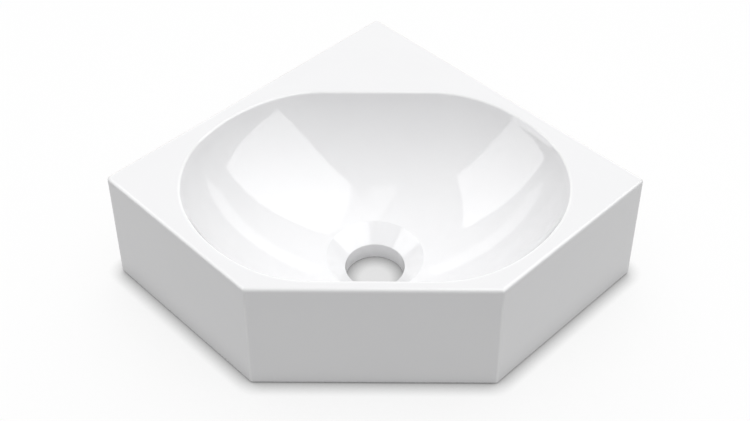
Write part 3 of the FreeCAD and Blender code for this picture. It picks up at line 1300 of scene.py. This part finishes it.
@dataclass
class HangerBolt:
    """One hanger bolt, drawn along +Z and then placed on its wall frame."""

    hand: Hand
    place: Matrix
    steel: Material
    sizes: BoltSizes = BoltSizes()
    columns: int = 36
    rings: int = 640
    groove_gain: float = 1.25  # over 1, it gives the grooves a flat crest and root
    turns_ahead: float = 100.0  # keeps the count of turns above zero
    socket_sides: int = 6
    socket_flats: float = 0.005
    socket_depth: float = 0.004
    socket_rise: float = 0.001  # how far the shape that cuts the socket stands out
    sharp_degrees: float = 50.0

    def rule(self, f: Formula, size: dict[str, Socket], around: Socket, up: Socket) -> tuple:
        """Where a point of the bolt lies: on a shank cut by two helical grooves.

        Args:
            f: writes the arithmetic.
            size: the tree's inputs by field name.
            around: the share of the way round.
            up: the share of the way along.

        Returns:
            The sockets of x, y and z.
        """
        step = 1.0 / (self.rings - 1)
        run = f.clamp(f.math("DIVIDE", f.minus(up, step), 1.0 - 2 * step), 0.0, 1.0)
        start = f.times(size["in_wall"], -1.0)
        z = f.between(start, size["inside"], run)
        inside = f.math("GREATER_THAN", z, 0.0)
        pitch = f.between(size["wood_pitch"], size["machine_pitch"], inside)
        depth = f.between(size["wood_depth"], size["machine_depth"], inside)
        turns = f.add(f.minus(f.math("DIVIDE", z, pitch), around), self.turns_ahead)
        wave = f.math("PINGPONG", f.times(f.math("FRACT", turns), 2.0), 1.0)
        gained = f.add(f.times(wave, self.groove_gain), (1.0 - self.groove_gain) / 2)
        groove = f.clamp(gained, 0.0, 1.0)
        clear = f.minus(f.math("ABSOLUTE", z), size["plain_half"])
        fade = f.clamp(f.math("DIVIDE", clear, size["run_out"]), 0.0, 1.0)
        shank = f.minus(size["radius"], f.times(groove, depth, fade))
        rise = f.math("DIVIDE", f.minus(size["radius"], size["tip_radius"]), size["tip"])
        point = f.add(size["tip_radius"], f.times(f.minus(z, start), rise))
        chamfer = f.add(f.minus(size["inside"], z), f.minus(size["radius"], size["end_chamfer"]))
        radius = f.math("MINIMUM", shank, f.math("MINIMUM", point, chamfer))
        closed_ends = f.times(
            f.math("GREATER_THAN", up, step / 2),
            f.math("LESS_THAN", up, 1.0 - step / 2),
        )
        radius = f.times(radius, closed_ends)
        angle = f.times(around, math.tau)
        x, y = (f.times(radius, f.math(name, angle)) for name in ("COSINE", "SINE"))
        return x, y, z

    def key_socket(self) -> Piece:
        """The hexagon socket in the bolt's inner end.

        Returns:
            The shape that cuts it.
        """
        reach = self.socket_flats / math.sqrt(3)
        inside = self.sizes.inside
        heights = (inside - self.socket_depth, inside + self.socket_rise)
        rings = [level_ring(reach, z, self.socket_sides) for z in heights]
        return loft("key_socket", rings, self.steel, False)

    def build(self) -> None:
        """Builds the bolt and lets it stand for its node."""
        ruled = RuledMesh("Hanger bolt", self.columns, self.rings, True)
        mesh = ruled.build(self.sizes, self.rule, self.steel)
        piece = shown_object(f"{self.hand.word}_threaded_bolt", mesh)
        carve(piece, self.key_socket())
        piece.data.transform(self.place)
        soften(piece, self.sharp_degrees)
        hand_over(piece, f"{self.hand.word}_hanger_bolt")


@dataclass
class WallFixing:
    """The plug, bolt, bush, washer and nut of one wall face."""

    hand: Hand
    place: Matrix
    finishes: dict[Slot, Material]

    def dress(self, piece: str, slot: Slot) -> None:
        """Gives a carried-over piece its finish.

        Args:
            piece: the piece's name without its side.
            slot: the slot whose finish it takes.
        """
        node = frame["nodes"][f"{self.hand.word}_{piece}"]
        node.data.materials.clear()
        node.data.materials.append(self.finishes[slot])
        LOG.info("%s takes %s", node.name, slot.value)

    def build(self) -> None:
        """Dresses the carried-over pieces and builds the threaded bolt."""
        self.dress("wall_plug", Slot.NYLON)
        self.dress("fixing_bush", Slot.PLASTIC)
        self.dress("washer", Slot.STEEL)
        self.dress("nut", Slot.STEEL)
        HangerBolt(self.hand, self.place, self.finishes[Slot.STEEL]).build()


# ---- the studio ----

@dataclass(frozen=True)
class Flag:
    """A black card that trims a softbox's face along a slightly bowed edge.

    The face stays lit where across * u + upwards * v + bow * v * v is under the limit, with u and v
    measured in metres from the softbox's centre. Beyond it the share "kept" of the light is left,
    and the change takes up "softness".
    """

    across: float
    upwards: float
    limit: float
    bow: float = 0.0
    softness: float = 0.03
    kept: float = 0.0


@dataclass(frozen=True)
class Softbox:
    """A large lamp whose trimmed face shows in the glaze.

    Attributes:
        name: its name.
        centre: the point that its face is measured from.
        outwards: the direction square to its face, away from the basin.
        size: the face's width and height.
        radiance: how bright its face is, where 1 is white.
        shift: how far the middle of the face lies from the centre, across and upwards.
        flags: the cards that trim it.
    """

    name: str
    centre: tuple
    outwards: tuple
    size: tuple
    radiance: float
    shift: tuple = (0.0, 0.0)
    flags: tuple = ()

    def build(self) -> None:
        """Builds the lamp."""
        watts_per_radiance = 4.0
        lamp = bpy.data.lights.new(self.name, "AREA")
        lamp.shape = "RECTANGLE"
        lamp.size, lamp.size_y = self.size
        lamp.energy = self.radiance * self.size[0] * self.size[1] * watts_per_radiance
        z = Vector(self.outwards).normalized()
        x = Vector((0.0, 0.0, 1.0)).cross(z).normalized()
        y = z.cross(x)
        middle = Vector(self.centre) + x * self.shift[0] + y * self.shift[1]
        if self.flags:
            self.trim(lamp, x, y)
        made = shown_object(self.name, lamp)
        made.matrix_world = placed_frame(middle, x, y, z)
        made.visible_camera = False
        made.visible_diffuse = False

    def trim(self, lamp: bpy.types.Light, across: Vector, upwards: Vector) -> None:
        """Darkens the face beyond each flag.

        Args:
            lamp: the lamp.
            across: the direction of u.
            upwards: the direction of v.
        """
        lamp.use_nodes = True
        formula = Formula(lamp.node_tree)
        place = formula.node("ShaderNodeNewGeometry").outputs["Position"]
        centre = Vector(self.centre)
        reaches = [formula.measure("DOT_PRODUCT", place, tuple(axis)) for axis in (across, upwards)]
        u = formula.minus(reaches[0], centre.dot(across))
        v = formula.minus(reaches[1], centre.dot(upwards))
        lit = 1.0
        for flag in self.flags:
            reach = formula.add(
                formula.times(u, flag.across),
                formula.times(v, flag.upwards),
                formula.times(v, v, flag.bow),
            )
            inside = formula.math("DIVIDE", formula.minus(flag.limit, reach), flag.softness)
            share = formula.clamp(formula.add(inside, 0.5), 0.0, 1.0)
            lit = formula.times(lit, formula.between(flag.kept, 1.0, share))
        formula.plug(lit, lamp.node_tree.nodes["Emission"].inputs["Strength"])


@dataclass
class Studio:
    """The floor, the surrounding light, the lamps and the camera."""

    hole_y: float  # where the waste hole lies
    lamps: tuple = (
        Softbox(
            name="right_softbox",
            centre=(0.961, -0.128, 1.199),
            outwards=(0.6403, -0.0560, 0.7660),
            size=(3.25, 2.7),
            radiance=1.9,
            shift=(-0.375, 0.1),
            flags=(
                Flag(across=0.20, upwards=-1.0, limit=0.86),
                Flag(across=1.0, upwards=-0.467, bow=-0.153, limit=0.637),
                Flag(across=0.20, upwards=1.0, limit=1.07, kept=0.38),
                Flag(across=-0.11, upwards=1.0, limit=1.30),
                Flag(across=1.28, upwards=1.0, limit=2.28),
                Flag(across=-1.0, upwards=0.60, bow=0.181, limit=1.474),
            ),
        ),
        Softbox(
            name="left_softbox",
            centre=(-1.174, 0.059, 0.599),
            outwards=(-0.9029, 0.0790, 0.4226),
            size=(1.65, 1.51),
            radiance=1.7,
            shift=(-0.075, 0.115),
            flags=(
                Flag(across=1.0, upwards=0.244, bow=0.214, limit=0.631),
                Flag(across=-1.0, upwards=-0.375, bow=-0.326, limit=0.348),
            ),
        ),
        Softbox(
            name="back_right_panel",
            centre=(1.9, 1.66, 0.68),
            outwards=(0.0, 1.0, 0.0),
            size=(2.9, 1.36),
            radiance=0.85,
        ),
        Softbox(
            name="back_left_panel",
            centre=(-1.9, 1.66, 0.68),
            outwards=(0.0, 1.0, 0.0),
            size=(2.9, 1.36),
            radiance=0.6,
        ),
    )
    floor_half: float = 6.0
    floor_albedo: float = 0.91
    floor_shown: float = 0.72  # the share of even white where the floor is seen
    floor_glow: float = 0.52  # how strongly the floor lights the basin
    contact_reach: float = 0.012  # how far from the basin the floor darkens
    contact_depth: float = 1.35
    contact_samples: int = 8
    hole_shade_reach: float = 0.045  # how far the painted shade under the waste hole reaches from its axis
    painted_hole_shade: float = 0.70  # painted shade: the share of the floor's glow left under the waste hole
    even: float = 0.09  # the light from all round
    overhead: float = 1.65
    behind: float = 1.05
    from_right: float = 0.14
    mirrored_white: float = 1.0  # the surroundings where they are seen or mirrored
    lens: float = 59.47  # in millimetres, as is the sensor
    sensor: float = 36.0
    camera_place: tuple = (0.0059, -0.7062, 0.7176)
    pitch: float = math.radians(44.49)
    yaw: float = math.radians(-0.507)
    roll: float = math.radians(-0.112)

    @staticmethod
    def seen_rays(formula: Formula) -> Socket:
        """Tells the rays that show a surface from those that light another.

        Args:
            formula: writes the arithmetic.

        Returns:
            1 for a ray that shows it and 0 for one that lights.
        """
        path = formula.node("ShaderNodeLightPath").outputs
        seen = formula.math("MAXIMUM", path["Is Camera Ray"], path["Is Glossy Ray"])
        return formula.math("MAXIMUM", seen, path["Is Transmission Ray"])

    def floor_material(self) -> Material:
        """Pale paper that glows where it is seen, with a contact shade and a painted shade under
        the waste hole.

        Returns:
            The material.
        """
        material = bpy.data.materials.new("studio_floor")
        material.use_nodes = True
        tree = material.node_tree
        formula = Formula(tree)
        tree.nodes.remove(tree.nodes["Principled BSDF"])
        grey = (self.floor_albedo,) * 3 + (1.0,)
        paper = formula.node("ShaderNodeBsdfDiffuse", Color=grey)
        seen = self.seen_rays(formula)
        near = formula.node("ShaderNodeAmbientOcclusion", Distance=self.contact_reach)
        near.samples = self.contact_samples
        contact = formula.math("POWER", near.outputs["AO"], self.contact_depth)
        place = formula.node("ShaderNodeNewGeometry").outputs["Position"]
        # Painted shade: the floor's glow is dimmed in a circle under the waste hole.
        away = formula.measure("DISTANCE", place, (0.0, self.hole_y, 0.0))
        hole_shade_mask = formula.math("LESS_THAN", away, self.hole_shade_reach)
        shade = formula.times(contact, formula.between(1.0, self.painted_hole_shade, hole_shade_mask))
        strength = formula.times(shade, formula.between(self.floor_glow, 1.0, seen))
        glow = formula.node("ShaderNodeEmission", Strength=strength)
        mixed = formula.node("ShaderNodeMixShader")
        share = formula.between(1.0, self.floor_shown, seen)
        for value, socket in zip((share, paper.outputs[0], glow.outputs[0]), mixed.inputs):
            formula.plug(value, socket)
        formula.plug(mixed.outputs[0], tree.nodes["Material Output"].inputs["Surface"])
        return material

    def floor(self) -> None:
        """A plain white floor that keeps the object's shadow."""
        half = self.floor_half
        mesh = bpy.data.meshes.new("floor")
        corners = [(-half, -half, 0), (half, -half, 0), (half, half, 0), (-half, half, 0)]
        mesh.from_pydata(corners, [], [(0, 1, 2, 3)])
        mesh.materials.append(self.floor_material())
        shown_object("floor", mesh)

    def surroundings(self) -> None:
        """White where it is seen or mirrored, and a softer sky where it lights surfaces."""
        world = bpy.data.worlds.new("studio")
        bpy.context.scene.world = world
        world.use_nodes = True
        formula = Formula(world.node_tree)
        seen = self.seen_rays(formula)
        ray = formula.node("ShaderNodeTexCoord").outputs["Generated"]
        towards = formula.node("ShaderNodeSeparateXYZ", Vector=ray).outputs
        back, right = (formula.math("MAXIMUM", towards[name], 0.0) for name in "YX")
        lighting = formula.add(
            self.even,
            formula.times(towards["Z"], towards["Z"], self.overhead),
            formula.times(back, back, self.behind),
            formula.times(right, self.from_right),
        )
        above = formula.math("GREATER_THAN", towards["Z"], 0.0)
        lighting = formula.times(lighting, above)
        background = world.node_tree.nodes["Background"].inputs
        background["Color"].default_value = (1.0, 1.0, 1.0, 1.0)
        strength = formula.between(lighting, self.mirrored_white, seen)
        formula.plug(strength, background["Strength"])

    def camera(self) -> None:
        """The photograph's viewpoint."""
        forwards = Vector((
            math.sin(self.yaw) * math.cos(self.pitch),
            math.cos(self.yaw) * math.cos(self.pitch),
            -math.sin(self.pitch),
        ))
        level = Vector((math.cos(self.yaw), -math.sin(self.yaw), 0.0))
        upright = level.cross(forwards)
        x = level * math.cos(self.roll) + upright * math.sin(self.roll)
        y = upright * math.cos(self.roll) - level * math.sin(self.roll)
        data = bpy.data.cameras.new("camera")
        data.sensor_fit = "HORIZONTAL"
        data.sensor_width = self.sensor
        data.lens = self.lens
        made = shown_object("camera", data)
        made.matrix_world = placed_frame(Vector(self.camera_place), x, y, -forwards)
        bpy.context.scene.camera = made

    def build(self) -> None:
        """Builds the whole studio."""
        bpy.context.scene.view_settings.view_transform = "Standard"
        self.floor()
        self.surroundings()
        for lamp in self.lamps:
            lamp.build()
        self.camera()


# ---- the whole scene ----

def waste_hole_y() -> float:
    """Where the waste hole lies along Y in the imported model."""
    mounts = {mount["name"]: mount for mount in frame["record"]["mounts"]}
    return mounts["waste_hole"]["pos_m"][1]


def main() -> None:
    """Builds the basin and the studio."""
    logging.basicConfig(level=logging.INFO, format="%(name)s: %(message)s")
    hole_y = waste_hole_y()
    corner_y = hole_y + BowlSizes().waste_centre
    effects = SharedEffects()
    finishes = {
        Slot.CERAMIC: GlazeFinish(corner_y=corner_y).build(effects),
        Slot.NYLON: GREY_NYLON.build(effects),
        Slot.PLASTIC: WHITE_PLASTIC.build(effects),
        Slot.STEEL: ZINC_PLATE.build(effects),
    }
    casting = Casting(corner_y, finishes[Slot.CERAMIC], THIN_UNDERSIDE.build(effects))
    casting.build()
    for hand in Hand:
        WallFixing(hand, casting.wall_frame(hand), finishes).build()
    Studio(hole_y=hole_y).build()


if __name__ == "__main__":
    main()
